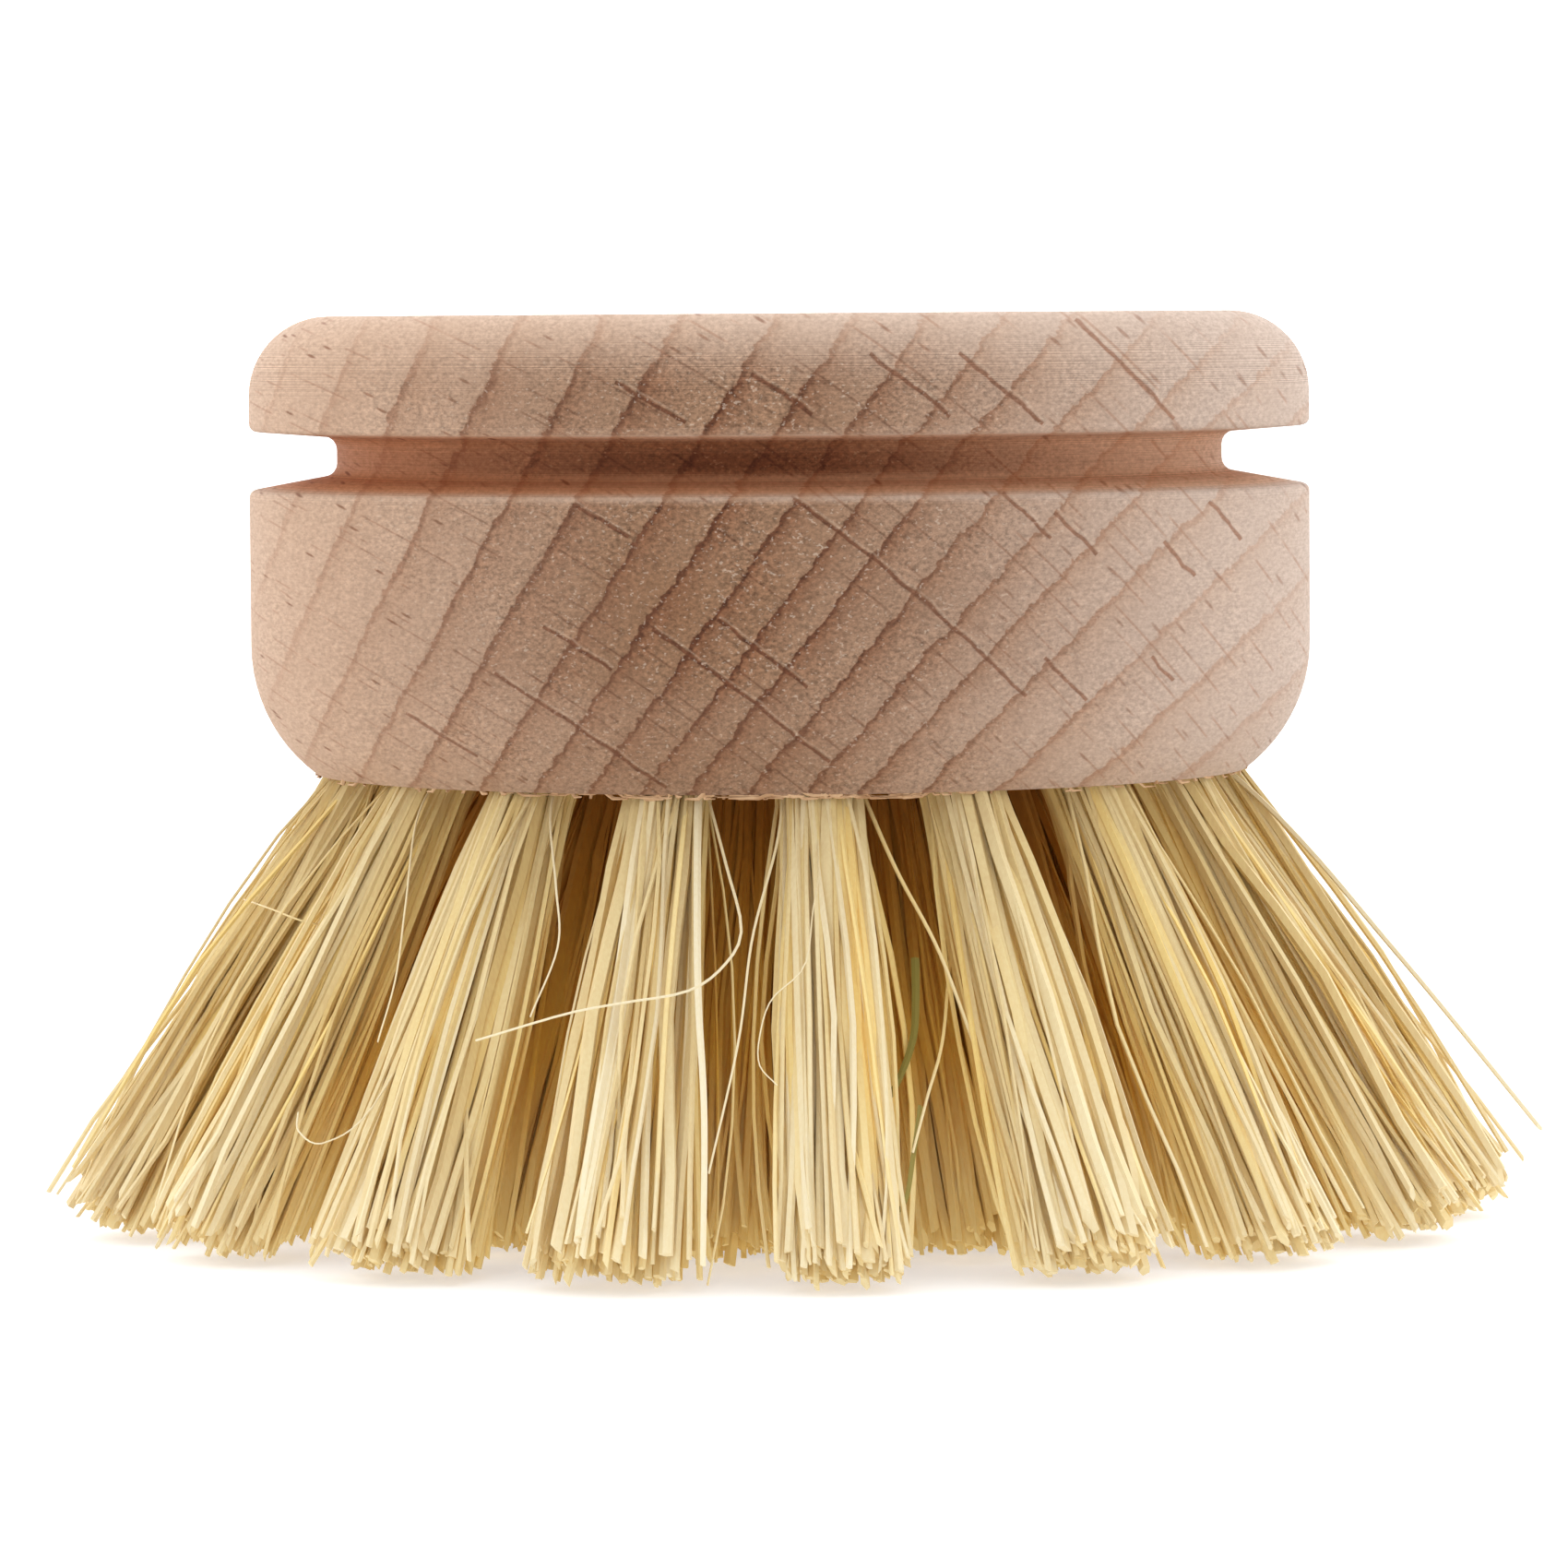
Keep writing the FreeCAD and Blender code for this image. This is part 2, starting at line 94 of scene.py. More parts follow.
# Node helpers
class Graph:
    """Builds one material's nodes with few words."""

    # Numbers of the mix node's sockets for colours, which share their names with others
    MIX_INPUTS = (6, 7)
    MIX_OUTPUT = 2

    def __init__(self, name):
        self.material = bpy.data.materials.new(name)
        self.material.use_nodes = True
        self.tree = self.material.node_tree
        self.shader = self.tree.nodes["Principled BSDF"]

    def add(self, kind, inputs=None, output=0, **settings):
        """Adds a node, sets or links its inputs, and returns one of its outputs."""
        made = self.tree.nodes.new(kind)
        for key, value in settings.items():
            setattr(made, key, value)
        for key, value in (inputs or {}).items():
            self.feed(made.inputs[key], value)
        return made.outputs[output]

    def feed(self, socket, value):
        """Links a socket to another, or sets its value."""
        if isinstance(value, bpy.types.NodeSocket):
            self.tree.links.new(value, socket)
        else:
            socket.default_value = value

    def math(self, operation, first, second=0.0):
        """One operation on one or two values."""
        return self.add("ShaderNodeMath", {0: first, 1: second}, operation=operation)

    def noise(self, vector, scale, detail, roughness=0.5):
        """Noise from 0 to 1."""
        inputs = {"Vector": vector, "Scale": scale, "Detail": detail, "Roughness": roughness}
        return self.add("ShaderNodeTexNoise", inputs)

    def wobble(self, vector, scale, detail):
        """Noise about zero."""
        return self.math("SUBTRACT", self.noise(vector, scale, detail), 0.5)

    def weighted(self, *terms, plus=0.0):
        """The sum of values, each times its factor, and of a plain number."""
        total = plus
        for value, factor in terms:
            total = self.add("ShaderNodeMath", {0: value, 1: factor, 2: total}, operation="MULTIPLY_ADD")
        return total

    def ramp(self, value, stops):
        """A colour ramp; stops are pairs of position and colour or grey."""
        made = self.tree.nodes.new("ShaderNodeValToRGB")
        elements = made.color_ramp.elements
        while len(elements) < len(stops):
            elements.new(0.5)
        for element, (position, colour) in zip(elements, stops):
            element.position = position
            grey = isinstance(colour, (int, float))
            element.color = (colour, colour, colour, 1) if grey else (*colour, 1)
        self.feed(made.inputs[0], value)
        return made.outputs[0]

    def mix(self, factor, first, second, blend="MIX"):
        """A mix of two colours."""
        made = self.tree.nodes.new("ShaderNodeMix")
        made.data_type = "RGBA"
        made.blend_type = blend
        self.feed(made.inputs["Factor"], factor)
        for number, value in zip(self.MIX_INPUTS, (first, second)):
            self.feed(made.inputs[number], (*value, 1) if isinstance(value, tuple) else value)
        return made.outputs[self.MIX_OUTPUT]

    def tint(self, colour, tone, share, strength):
        """A colour turned towards a tone, by a share times a strength."""
        return self.mix(self.math("MULTIPLY", share, strength), colour, tone)

    def finish(self, **inputs):
        """Feeds the shader, by input names with _ for a space, and returns the material."""
        for key, value in inputs.items():
            self.feed(self.shader.inputs[key.replace("_", " ")], value)
        return self.material


# Materials

# Beech tones: the wood at the left and right sides and where the grain is cut across, its pale patches, and
# painted highlights beside the rays and in glints
LEFT_WOOD = (0.500, 0.340, 0.240)
RIGHT_WOOD = (0.475, 0.365, 0.298)
END_WOOD = (0.222, 0.116, 0.060)
PALE_WOOD = (0.60, 0.44, 0.33)
RAY_HIGHLIGHT = (0.55, 0.42, 0.31)
GLINT = (0.66, 0.53, 0.42)

# Pairs of a tone along the grain and a tone where the grain is cut across
RING_WARMTH = ((0.44, 0.27, 0.17), (0.175, 0.068, 0.030))
RING_LINE = ((0.34, 0.18, 0.11), (0.085, 0.027, 0.011))
RAY_TONE = ((0.28, 0.14, 0.085), (0.105, 0.034, 0.014))
DASH_TONE = ((0.22, 0.095, 0.048), (0.10, 0.035, 0.015))

# What the groove's wood is multiplied by, at the left and right sides and in front: a redder tone, with
# painted shade in the recess, darkest in front
GROOVE_TONE_AND_SHADE_LEFT = (1.05, 0.70, 0.48)
GROOVE_TONE_AND_SHADE_RIGHT = (1.25, 1.02, 0.82)
GROOVE_TONE_AND_SHADE_FRONT = (0.70, 0.43, 0.28)

# How many millimetres a ramp from 0 to 1 stands for
RAMP_REACH = 10.0


def beech_material():
    """Turned beech whose grain runs about along Y: end grain in front and behind, long grain at the sides."""
    g = Graph("beech")
    place = g.add("ShaderNodeTexCoord", output="Object")
    millimetres = g.add("ShaderNodeVectorMath", {0: place, "Scale": 1 / MM}, operation="SCALE")
    x, y, z = (g.add("ShaderNodeSeparateXYZ", {0: millimetres}, output=axis) for axis in range(3))
    end_grain_and_shade = end_grain_and_underside_shade(g)
    rightward = g.ramp(share_across(g, x), [(0.1, 0.0), (0.9, 1.0)])
    ring_level, ray_level = grain_levels(g, x, z)
    in_groove = groove_share(g, x, y, z)

    # The wood, its growth rings and its rays
    plain = plain_wood(g, millimetres, end_grain_and_shade, rightward)
    outside = g.weighted((in_groove, -0.35), plus=1.0)
    ring_share = g.math("MULTIPLY", ring_strength(g, millimetres, x, z), outside)
    warm, line = growth_rings(g, millimetres, ring_level, ring_share)
    warmed = g.tint(plain, g.mix(end_grain_and_shade, *RING_WARMTH), warm, strength=0.9)
    line_tone = g.mix(end_grain_and_shade, *RING_LINE)
    ringed = g.tint(warmed, line_tone, line, strength=0.9)
    rays, ray_highlights = wood_rays(g, millimetres, ring_level, ray_level)
    rayed = g.tint(ringed, g.mix(end_grain_and_shade, *RAY_TONE), rays, strength=0.92)
    # Painted highlight beside each ray
    highlighted = g.tint(rayed, RAY_HIGHLIGHT, ray_highlights, strength=0.22)
    threads = ray_threads(g, y, ring_level, ray_level)
    threaded = g.tint(highlighted, line_tone, threads, strength=0.55)
    dashes = ray_dashes(g, y, ring_level, ray_level)
    dash_strength = g.weighted((end_grain_and_shade, -0.4), (rightward, -0.35), plus=0.9)
    dashed = g.tint(threaded, g.mix(end_grain_and_shade, *DASH_TONE), dashes, dash_strength)

    # Pores, painted glints, turning marks, and the groove's tone with painted shade
    grain_place = g.add("ShaderNodeVectorMath", {0: millimetres, 1: PORE_STRETCH}, operation="MULTIPLY")
    speck = g.noise(grain_place, scale=6.0, detail=3.0, roughness=0.65)
    pored_and_glinted = wood_pores_and_glints(g, dashed, millimetres, grain_place, speck, end_grain_and_shade)
    lined = g.mix(turning_band(g, z), pored_and_glinted, turning_marks(g, z), "OVERLAY")
    # The groove's redder tone, with painted shade in its recess
    groove_side_and_shade = g.mix(rightward, GROOVE_TONE_AND_SHADE_LEFT, GROOVE_TONE_AND_SHADE_RIGHT)
    groove_tone_and_shade = g.mix(end_grain_and_shade, groove_side_and_shade, GROOVE_TONE_AND_SHADE_FRONT)
    grooved_and_shaded = g.mix(in_groove, lined, groove_tone_and_shade, "MULTIPLY")

    height = g.weighted((speck, 0.8), (rays, -0.3), (dashes, -0.4))
    bump = g.add("ShaderNodeBump", {"Strength": 0.35, "Distance": 0.05 * MM, "Height": height})
    roughness = g.ramp(speck, [(0.3, 0.8), (0.7, 0.6)])
    return g.finish(Base_Color=grooved_and_shaded, Roughness=roughness, Normal=bump, Specular_IOR_Level=0.2)


def plain_wood(g, millimetres, end_grain_and_shade, rightward):
    """The wood without its marks, darkest where the grain is cut across and, as painted shade, on its
    undersides, with pale patches.
    """
    side_wood = g.mix(rightward, LEFT_WOOD, RIGHT_WOOD)
    plain = g.mix(end_grain_and_shade, side_wood, END_WOOD)
    patch = g.ramp(g.noise(millimetres, scale=0.13, detail=3.0), [(0.35, 0.0), (0.7, 1.0)])
    return g.tint(plain, PALE_WOOD, patch, strength=0.12)


def wood_pores_and_glints(g, colour, millimetres, grain_place, speck, end_grain_and_shade):
    """Fine dark specks, and painted glints of light, plainest where the grain is cut across."""
    rough = g.ramp(g.noise(millimetres, scale=0.3, detail=2.0), [(0.35, 0.7), (0.65, 1.15)])
    contrast = g.math("MULTIPLY", g.weighted((end_grain_and_shade, 0.38), plus=0.2), rough)
    specked = g.mix(contrast, colour, g.ramp(speck, [(0.3, 0.1), (0.5, 0.5), (0.72, 0.95)]), "OVERLAY")
    # Painted glints of light on the wood
    glint = g.ramp(g.noise(grain_place, scale=6.5, detail=1.5), [(0.62, 0.0), (0.74, 0.45)])
    glint_strength = g.weighted((end_grain_and_shade, 0.8), plus=0.2)
    return g.tint(specked, GLINT, glint, glint_strength)


# The grain seen from the front, in millimetres from the block's middle: the growth rings lean to the right
# and bend, and the rays cross them at right angles
GRAIN_TURN = math.radians(6)
GRAIN_TILT = math.radians(36.5)
GRAIN_TWIST = 0.006
GRAIN_BEND = 0.007

# How the place of a pore is scaled along X, Y and Z, so that pores are long along the grain
PORE_STRETCH = (1.0, 0.22, 1.4)

# Where growth rings end, from the lower right to the upper left, and the step of the rings beyond them
RING_ENDS = (-14.0, -11.8, -9.7, -7.9, -6.3, -4.5, -2.6, -1.1, 0.7, 2.6, 4.6, 7.3, 9.5, 12.2, 15.0)
RING_STEP = 2.5
RINGS_BEYOND = 3

# The plain rays: each one's level among the rays, and the two ring levels between which it shows
WOOD_RAYS = [
    (-13.3, 9.0, 5.4),
    (-9.8, 6.6, -1.8),
    (-7.1, 5.9, 2.7),
    (-4.9, 2.3, -6.2),
    (-3.2, 0.5, -3.7),
    (-2.5, 7.3, 4.9),
    (1.9, 0.8, -10.0),
    (2.0, 8.1, 5.3),
    (3.3, -9.5, -11.7),
    (4.6, 4.3, 1.9),
    (6.1, -12.2, -13.4),
    (6.4, -4.6, -6.8),
    (7.1, -6.3, -8.3),
    (7.2, 1.5, -1.7),
    (8.9, -0.7, -4.1),
    (9.0, -9.6, -11.2),
    (11.0, -9.7, -11.4),
    (11.9, -2.8, -7.0),
]
RAY_HALF_WIDTH = 0.085


def end_grain_and_underside_shade(g):
    """1 where the surface cuts straight across the grain, less where it turns under, and 0 along it;
    undersides keep more of it than their slope gives, as painted shade.
    """
    # Undersides count as facing more sideways, so they keep the dark end-grain tone: painted shade from less
    # light below
    underside_shade_limit = (-1.0, -1.0, -0.25)
    sharpness = 4.2
    facing = g.add("ShaderNodeNewGeometry", output="Normal")
    grain = (math.sin(GRAIN_TURN), math.cos(GRAIN_TURN), 0.0)
    level = g.add("ShaderNodeVectorMath", {0: facing, 1: underside_shade_limit}, operation="MAXIMUM")
    turned = g.add("ShaderNodeVectorMath", {0: level}, operation="NORMALIZE")
    across = g.add("ShaderNodeVectorMath", {0: turned, 1: grain}, output="Value", operation="DOT_PRODUCT")
    return g.math("POWER", g.math("ABSOLUTE", across), sharpness)


def share_across(g, x):
    """0 at the block's left side and 1 at its right."""
    return g.weighted((x, MM / (2 * BLOCK_RADIUS)), plus=0.5)


def grain_levels(g, x, z):
    """Two levels in millimetres, one that rises across the growth rings and one across the rays."""
    up = g.math("SUBTRACT", z, (BLOCK_FACE + BLOCK_TOP) / 2 / MM)
    product = g.math("MULTIPLY", x, up)
    squares = g.math("SUBTRACT", g.math("MULTIPLY", x, x), g.math("MULTIPLY", up, up))
    sine = math.sin(GRAIN_TILT)
    cosine = math.cos(GRAIN_TILT)
    ring_level = g.weighted((up, sine), (x, -cosine), (product, GRAIN_TWIST), (squares, GRAIN_BEND))
    ray_level = g.weighted((x, sine), (up, cosine), (squares, GRAIN_TWIST / 2), (product, -2 * GRAIN_BEND))
    return ring_level, ray_level


def ring_strength(g, millimetres, x, z):
    """How plain the rings are: patchy, faint at the left and right ends and on the rounding at the top."""
    patchy = g.ramp(g.noise(millimetres, scale=0.25, detail=2.0), [(0.3, 0.75), (0.6, 1.0)])
    left = [(0.0, 0.15), (0.1, 0.5), (0.2, 1.0)]
    right = [(0.6, 1.0), (0.725, 0.75), (0.875, 0.4), (1.0, 0.2)]
    fading = g.ramp(share_across(g, x), left + right)
    rounding = g.ramp(below_top(g, z), [(0.02, 0.3), (0.12, 0.55), (0.25, 1.0)])
    return g.math("MULTIPLY", g.math("MULTIPLY", patchy, fading), rounding)


def growth_rings(g, millimetres, ring_level, strength):
    """Each ring turns softly to a warm brown and ends in a thin dark line, with a step back behind it."""
    before = [RING_ENDS[0] - RING_STEP * count for count in range(RINGS_BEYOND, 0, -1)]
    after = [RING_ENDS[-1] + RING_STEP * count for count in range(1, RINGS_BEYOND + 1)]
    ends = [*before, *RING_ENDS, *after]
    span = ends[-1] - ends[0]
    ripple = g.wobble(millimetres, scale=0.9, detail=4.0)
    tearing = g.wobble(millimetres, scale=3.5, detail=2.0)
    frayed = g.weighted((ring_level, 1.0), (ripple, 0.5), (tearing, 0.35))
    count = g.tree.nodes.new("ShaderNodeFloatCurve")
    points = count.mapping.curves[0].points
    for number, end in enumerate(ends[1:-1], start=1):
        points.new((end - ends[0]) / span, number / (len(ends) - 1))
    for point in points:
        point.handle_type = "VECTOR"
    count.mapping.update()
    g.feed(count.inputs["Value"], g.weighted((frayed, 1 / span), plus=-ends[0] / span))
    stage = g.math("FRACT", g.math("MULTIPLY", count.outputs[0], len(ends) - 1))
    warm = g.ramp(stage, [(0.0, 0.2), (0.03, 0.0), (0.25, 0.0), (0.65, 0.4), (0.92, 1.0)])
    line = g.ramp(stage, [(0.0, 0.7), (0.025, 0.0), (0.89, 0.0), (0.95, 1.0)])
    return g.math("MULTIPLY", warm, strength), g.math("MULTIPLY", line, strength)


def wood_rays(g, millimetres, ring_level, ray_level):
    """The plain rays as dark lines, and a painted highlight along the upper right side of each.

    Distances are counted in half widths of a ray, and the ramps from 0 to 1 stand for ten of them.
    """
    far = 1000.0
    ramp_reach = 10
    ripple = g.wobble(millimetres, scale=0.9, detail=2.0)
    wavy_level = g.weighted((ray_level, 1.0), (ripple, 0.3))
    nearest = far
    for level, start, end in WOOD_RAYS:
        aside = g.weighted((wavy_level, 1 / RAY_HALF_WIDTH), plus=1 - level / RAY_HALF_WIDTH)
        beside = g.math("FLOORED_MODULO", aside, far)
        reach = {0: ring_level, 1: (start + end) / 2, 2: abs(start - end) / 2}
        within = g.add("ShaderNodeMath", reach, operation="COMPARE")
        nearest = g.math("MINIMUM", nearest, g.weighted((within, -far), (beside, 1.0)))
    spot = g.weighted((nearest, 1 / ramp_reach), plus=far / ramp_reach)
    dark = g.ramp(spot, [(0.0, 0.2), (0.05, 1.0), (0.15, 0.9), (0.2, 0.0)])
    light = g.ramp(spot, [(0.2, 0.0), (0.26, 1.0), (0.34, 0.0)])
    return dark, light


def ray_threads(g, y, ring_level, ray_level):
    """Many faint thin rays, each with its own place and breaks."""
    per_millimetre = 1.5
    half_width = 0.055
    noise_apart = 7.31
    turns = g.math("MULTIPLY", ray_level, per_millimetre)
    number = g.math("FLOOR", turns)
    chance = g.add("ShaderNodeTexWhiteNoise", {"W": number}, noise_dimensions="1D")
    middle = g.weighted((chance, 0.7), plus=0.15)
    aside = g.math("ABSOLUTE", g.math("SUBTRACT", g.math("FRACT", turns), middle))
    line = g.ramp(g.math("DIVIDE", aside, half_width * per_millimetre), [(0.0, 1.0), (0.5, 0.8), (1.0, 0.0)])
    shift = g.math("MULTIPLY", number, noise_apart)
    outward = g.math("MULTIPLY", ring_level, 0.25)
    lengthways = g.math("MULTIPLY", y, 0.5)
    spot = g.add("ShaderNodeCombineXYZ", {0: shift, 1: outward, 2: lengthways})
    present = g.ramp(g.noise(spot, scale=1.0, detail=1.0), [(0.52, 0.0), (0.6, 1.0)])
    return g.math("MULTIPLY", line, present)


def ray_dashes(g, y, ring_level, ray_level):
    """Short dark dashes along the rays, a few in each square centimetre, drawn out along the grain."""
    outward = g.math("MULTIPLY", ring_level, 0.65)
    across = g.math("MULTIPLY", ray_level, 3.0)
    lengthways = g.math("MULTIPLY", y, 0.2)
    spot = g.add("ShaderNodeCombineXYZ", {0: outward, 1: across, 2: lengthways})
    cells = g.tree.nodes.new("ShaderNodeTexVoronoi")
    g.feed(cells.inputs["Vector"], spot)
    g.feed(cells.inputs["Scale"], 1.0)
    chance = g.add("ShaderNodeSeparateColor", {0: cells.outputs["Color"]})
    chosen = g.ramp(chance, [(0.48, 1.0), (0.49, 0.0)])
    return g.math("MULTIPLY", g.ramp(cells.outputs["Distance"], [(0.1, 1.0), (0.22, 0.0)]), chosen)


def below_top(g, z):
    """The distance below the block's top, for ramps."""
    return g.weighted((z, -1 / RAMP_REACH), plus=BLOCK_TOP / MM / RAMP_REACH)


def turning_marks(g, z):
    """Fine lines round the block, light and dark."""
    level = g.math("MULTIPLY", z, 6.0)
    marks = g.add("ShaderNodeTexNoise", {"W": level, "Detail": 3.0}, noise_dimensions="1D")
    return g.ramp(marks, [(0.3, 0.15), (0.7, 0.85)])


def turning_band(g, z):
    """How plain the turning marks are: most below the top edge, less in the groove, hardly elsewhere."""
    upper = [(0.08, 0.05), (0.15, 0.5), (0.26, 0.4), (0.32, 0.05)]
    groove = [(0.4, 0.05), (0.45, 0.3), (0.63, 0.3), (0.7, 0.05)]
    return g.ramp(below_top(g, z), upper + groove)


def groove_share(g, x, y, z):
    """1 on the walls and floor of the groove, and 0 outside."""
    radius = g.math("SQRT", g.math("ADD", g.math("MULTIPLY", x, x), g.math("MULTIPLY", y, y)))
    depth = g.weighted((radius, -1 / RAMP_REACH), plus=BLOCK_RADIUS / MM / RAMP_REACH)
    level = g.ramp(below_top(g, z), [(0.41, 0.0), (0.46, 1.0), (0.63, 1.0), (0.68, 0.0)])
    return g.math("MULTIPLY", level, g.ramp(depth, [(0.02, 0.0), (0.1, 1.0)]))


# Straw tones by each fibre's own tone, and what they turn to: painted shadow at the root, paler ends
# with painted light at the tip, and golden painted shade inside a tuft
STRAW_TONES = [
    (0.0, (0.52, 0.33, 0.10)),
    (0.2, (0.68, 0.495, 0.205)),
    (0.55, (0.755, 0.61, 0.33)),
    (1.0, (0.84, 0.75, 0.53)),
]
ROOT_SHADOW_TONE = (0.58, 0.425, 0.185)
TIP_TONE_AND_LIGHT = (0.90, 0.795, 0.54)
GOLDEN_SHADE_TONE = (0.89, 0.68, 0.255)
GREEN_TONE = (0.23, 0.19, 0.04)

# Painted shade deep in the brush, as tones along a fibre from its root to its tip
DEEP_SHADE_TONES = [
    (0.12, (0.36, 0.125, 0.01)),
    (0.35, (0.54, 0.24, 0.02)),
    (0.65, (0.80, 0.49, 0.08)),
    (0.9, (0.90, 0.72, 0.32)),
]

# How the place of a streak is scaled along X, Y and Z, so that streaks are long along the fibres
STREAK_STRETCH = (9000.0, 9000.0, 900.0)


def fibre_material():
    """Dried plant fibre: each its own straw tone, with painted shadow at the root, paler ends with painted
    light at the tip, golden-brown painted shade deep in the brush, and a rare green part.
    """
    g = Graph("fibre")
    look = g.add("ShaderNodeAttribute", attribute_name="look")
    shade_depth = g.add("ShaderNodeAttribute", output="Alpha", attribute_name="look")
    tone, along, green = (g.add("ShaderNodeSeparateColor", {0: look}, output=channel) for channel in range(3))

    # The tone along the fibre, outside and inside the tufts, with its painted shadow, light and shade
    straw = g.ramp(tone, STRAW_TONES)
    # Painted shadow: the fibres darken towards the root, under the block
    root_shadow_share = g.ramp(along, [(0.12, 0.6), (0.3, 0.35), (0.5, 0.05), (0.8, 0.0)])
    root_shadowed = g.mix(root_shadow_share, straw, ROOT_SHADOW_TONE)
    # Paler towards the tip: partly the fibres' own paler ends, partly painted light from the floor below
    tipped_and_lit = g.mix(g.ramp(along, [(0.6, 0.0), (1.0, 0.5)]), root_shadowed, TIP_TONE_AND_LIGHT)
    above_tip = g.ramp(along, [(0.7, 1.0), (1.0, 0.35)])
    # Painted shade: fibres deep in a tuft turn golden, less so towards the tip
    golden_shade_share = g.ramp(shade_depth, [(0.2, 0.0), (0.5, 0.8)])
    golden_shaded = g.tint(tipped_and_lit, GOLDEN_SHADE_TONE, golden_shade_share, above_tip)
    # Painted shade: fibres deep in the brush turn golden brown, darkest at the root
    inside = g.ramp(shade_depth, [(0.45, 0.0), (0.9, 0.92)])
    deep_shaded = g.mix(inside, golden_shaded, g.ramp(along, DEEP_SHADE_TONES))

    # Streaks and green parts
    place = g.add("ShaderNodeTexCoord", output="Object")
    streak_place = g.add("ShaderNodeVectorMath", {0: place, 1: STREAK_STRETCH}, operation="MULTIPLY")
    streak = g.noise(streak_place, scale=1.0, detail=2.0)
    streaked = g.mix(0.2, deep_shaded, g.ramp(streak, [(0.3, 0.35), (0.7, 0.7)]), "OVERLAY")
    blotch = g.weighted((g.noise(place, scale=330.0, detail=2.0), 1.0), (green, 1.0), plus=-0.75)
    coloured = g.tint(streaked, GREEN_TONE, green, g.ramp(blotch, [(0.5, 0.0), (0.58, 1.0)]))
    return g.finish(Base_Color=coloured, Roughness=0.5, Specular_IOR_Level=0.15)


def steel_material():
    """Dull galvanised wire."""
    g = Graph("galvanised_wire")
    place = g.add("ShaderNodeTexCoord", output="Object")
    flow = g.add("ShaderNodeTexNoise", {"Vector": place, "Scale": 2500.0, "Detail": 3.0})
    colour = g.ramp(flow, [(0.35, (0.42, 0.43, 0.44)), (0.7, (0.62, 0.63, 0.63))])
    roughness = g.ramp(flow, [(0.3, 0.35), (0.7, 0.55)])
    return g.finish(Base_Color=colour, Roughness=roughness, Metallic=1.0)


def torn_wood_material():
    """Loose beech along a drilled edge, paler than the turned wood."""
    g = Graph("torn_beech")
    place = g.add("ShaderNodeTexCoord", output="Object")
    patch = g.noise(place, scale=900.0, detail=2.0)
    colour = g.ramp(patch, [(0.35, (0.44, 0.25, 0.13)), (0.65, (0.66, 0.44, 0.26))])
    return g.finish(Base_Color=colour, Roughness=0.8, Specular_IOR_Level=0.15)


def floor_material():
    """Pale, with white light of its own, as on a light table."""
    g = Graph("floor")
    white = (1.0, 1.0, 1.0, 1.0)
    pale = (0.62, 0.62, 0.62, 1.0)
    g.finish(Base_Color=pale, Roughness=0.8, Specular_IOR_Level=0.2)
    return g.finish(Emission_Color=white, Emission_Strength=0.5)


# Fibres
class Tuft:
    """Where one tuft stands: the middle of its hole's mouth and three directions from there."""

    def __init__(self, step, azimuth):
        lean = math.atan(step * RING_PITCH / FAN_HEIGHT)
        outward = np.array([math.cos(azimuth), math.sin(azimuth), 0.0])
        self.mouth = outward * step * RING_PITCH + np.array([0, 0, BLOCK_FACE])
        self.along = outward * math.sin(lean) + np.array([0, 0, -math.cos(lean)])
        self.outer = outward * math.cos(lean) + np.array([0, 0, math.sin(lean)])
        self.side = np.array([-math.sin(azimuth), math.cos(azimuth), 0.0])
        self.length = (BLOCK_FACE + TRIM_ALLOWANCE - TIP_RADIUS * math.sin(lean)) / math.cos(lean)

    def drift(self, sideways):
        """A shift along X as shares of the tuft's own two cross directions."""
        shift = np.array([sideways, 0.0, 0.0])
        return np.array([shift @ self.outer, shift @ self.side])


# A tuft's fibres: how many and how thick they are, and how much thicker those in its middle are
FIBRES_PER_TUFT = 220
FIBRE_THICKNESS = 0.29 * MM
THICKNESS_SPREAD = 0.36
THICKNESS_LIMITS = (0.12 * MM, 0.6 * MM)
INNER_BREADTH = 0.6

# A fibre's mesh: its corners around and rings along, how far its broad side turns away from outwards and how
# far round its first corner is, in radians, its narrow side as a share of the broad one, and its end's slant
FIBRE_SIDES = 5
FIBRE_STATIONS = 8
TWIST_SPREAD = 0.9
TURN_RANGE = 6.0
FLATNESS = (0.5, 0.85)
CUT_SLANT = 0.9

# A fibre's way: where it starts in its hole, and how far clumps, tips, bows and waves stray from an even fan
ROOT_DEPTH = 2.5 * MM
ROOT_FILL = 0.93
FLARE_POWER = 1.1
CLUMPS_PER_TUFT = 11
CLUMP_SHIFT = 0.17 * MM
TIP_SCATTER = 0.2 * MM
BOW = 0.22 * MM
WAVE = 0.07 * MM

# The thinnest fibres are wild, and stray further
WILD_SHARE = 0.2
WILD_SCATTER = 0.75 * MM
WILD_BOW = 0.5 * MM

# A fibre's length: how much longer than its tuft's, how much less on the tuft's outer side, and its spread.
# The heights above the floor where fibres are cut are the least, the commonest and the most
EXTRA_LENGTH = 0.65 * MM
OUTER_SHORTENING = 0.45 * MM
LENGTH_SPREAD = 0.4 * MM
CUT_HEIGHTS = (0.2 * MM, 0.3 * MM, 1.5 * MM)

# A fibre's looks: its straw tone, the few that are green, and how much golden painted shade it has in the
# middle of its tuft
STRAW_MIDDLE = 0.5
STRAW_SPREAD = 0.16
GREEN_FIBRES = 0.006
GREEN_STRENGTH = 0.75
GOLDEN_SHADE_START = 0.15
GOLDEN_SHADE_RISE = 0.35
GOLDEN_SHADE_MOST = 0.5

